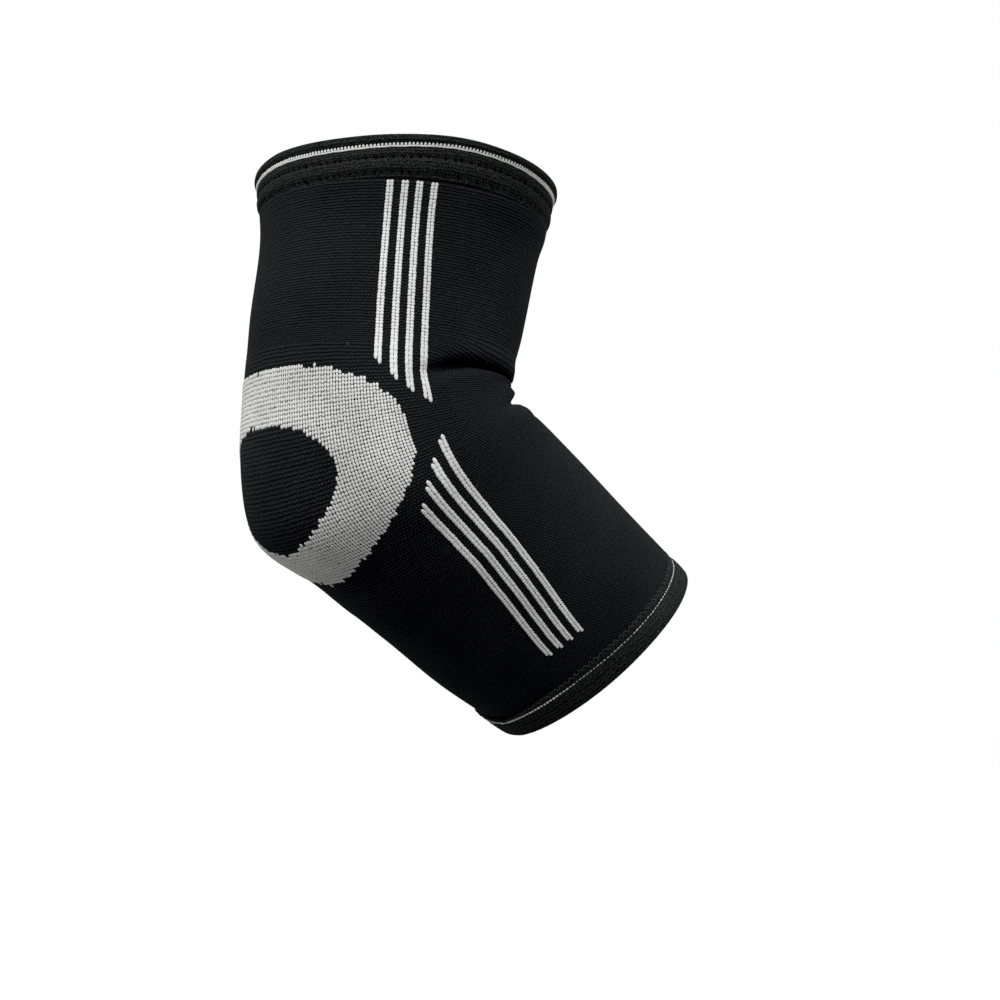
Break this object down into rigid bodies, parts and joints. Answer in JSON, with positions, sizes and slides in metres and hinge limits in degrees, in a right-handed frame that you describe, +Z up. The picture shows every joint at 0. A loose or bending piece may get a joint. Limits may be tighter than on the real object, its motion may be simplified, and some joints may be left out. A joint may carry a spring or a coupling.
{
  "type": "elbow brace",
  "caption": "Knitted elbow brace: a bent elastic tube with a folded hem at each end, a light ring knitted over the elbow's back and light stripes along both sides.",
  "frame": {"origin": "on the limb's centre line in the middle of the elbow's bend, where the elbow sits", "axes": "+Z up the upper arm, which leans 5 degrees from it towards +X; the back of the elbow faces -X; the forearm goes down towards +X; Y is across the bend's plane"},
  "size_m": [0.156, 0.1018, 0.1773],
  "materials": {
    "knit": "matte rib knit",
    "cuff": "matte folded hem",
    "ring_yarn": "matte knitted yarn",
    "stripe_yarn": "matte knitted yarn"
  },
  "bodies": {
    "root": {"knit_sleeve": "knit", "upper_cuff": "cuff", "lower_cuff": "cuff", "elbow_ring": "ring_yarn", "upper_accent_line": "stripe_yarn", "lower_accent_line": "stripe_yarn", "upper_stripe_right_1": "stripe_yarn", "lower_stripe_right_1": "stripe_yarn", "upper_stripe_right_2": "stripe_yarn", "lower_stripe_right_2": "stripe_yarn", "upper_stripe_right_3": "stripe_yarn", "lower_stripe_right_3": "stripe_yarn", "upper_stripe_right_4": "stripe_yarn", "lower_stripe_right_4": "stripe_yarn", "upper_stripe_left_1": "stripe_yarn", "lower_stripe_left_1": "stripe_yarn", "upper_stripe_left_2": "stripe_yarn", "lower_stripe_left_2": "stripe_yarn", "upper_stripe_left_3": "stripe_yarn", "lower_stripe_left_3": "stripe_yarn", "upper_stripe_left_4": "stripe_yarn", "lower_stripe_left_4": "stripe_yarn"}
  },
  "joints": []
}
